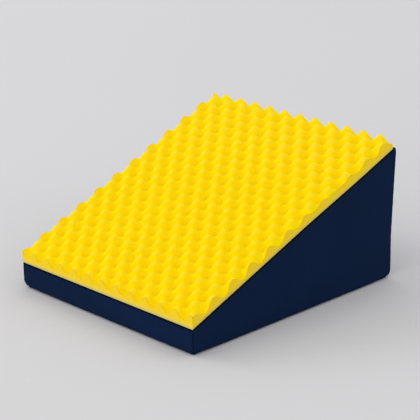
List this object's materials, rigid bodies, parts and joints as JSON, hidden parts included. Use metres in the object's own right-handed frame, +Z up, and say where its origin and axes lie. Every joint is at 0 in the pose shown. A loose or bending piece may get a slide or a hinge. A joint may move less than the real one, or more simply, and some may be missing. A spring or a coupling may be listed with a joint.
{
  "type": "foam positioning wedge",
  "caption": "Incline wedge of foam in a fitted zip cover, with a convoluted egg-crate foam topper bonded to its slope.",
  "frame": {"origin": "on the floor, under the middle of the base", "axes": "+X across the width, to the right seen from the low front; +Y from the low front to the tall back; +Z up"},
  "size_m": [0.5, 0.5601, 0.2997],
  "materials": {
    "core_foam": "open-cell polyurethane foam, matte",
    "topper_foam": "convoluted open-cell polyurethane foam, bright yellow, matte",
    "cover_fabric": "navy woven polyester, fine plain weave, matte",
    "zip_tape": "navy woven tape",
    "zip_coil": "dyed nylon coil, satin",
    "zip_metal": "satin",
    "slider_enamel": "navy enamel on zinc, satin"
  },
  "bodies": {
    "wedge": {"foam_core": "core_foam", "convoluted_topper": "topper_foam", "deck_panel": "cover_fabric", "front_panel": "cover_fabric", "left_side_panel": "cover_fabric", "right_side_panel": "cover_fabric", "back_panel_upper": "cover_fabric", "back_panel_lower": "cover_fabric", "base_panel": "cover_fabric", "zip_tape_upper": "zip_tape", "zip_tape_lower": "zip_tape", "zip_coil_upper": "zip_coil", "zip_coil_lower": "zip_coil", "zip_top_stops": "zip_metal", "zip_bottom_stop": "zip_metal"},
    "slider": {"zip_slider": "slider_enamel"},
    "pull_tab": {"zip_pull_tab": "slider_enamel"}
  },
  "joints": [
    {"name": "zip_slide", "type": "slide", "parent": "wedge", "child": "slider", "axis": [-1, 0, 0], "range_m": [0, 0.4183]},
    {"name": "pull_tab_swing", "type": "hinge", "parent": "slider", "child": "pull_tab", "pos_m": [0.20915, 0.28075, 0.072], "axis": [0, 0, 1], "range_deg": [-180, 0]}
  ]
}
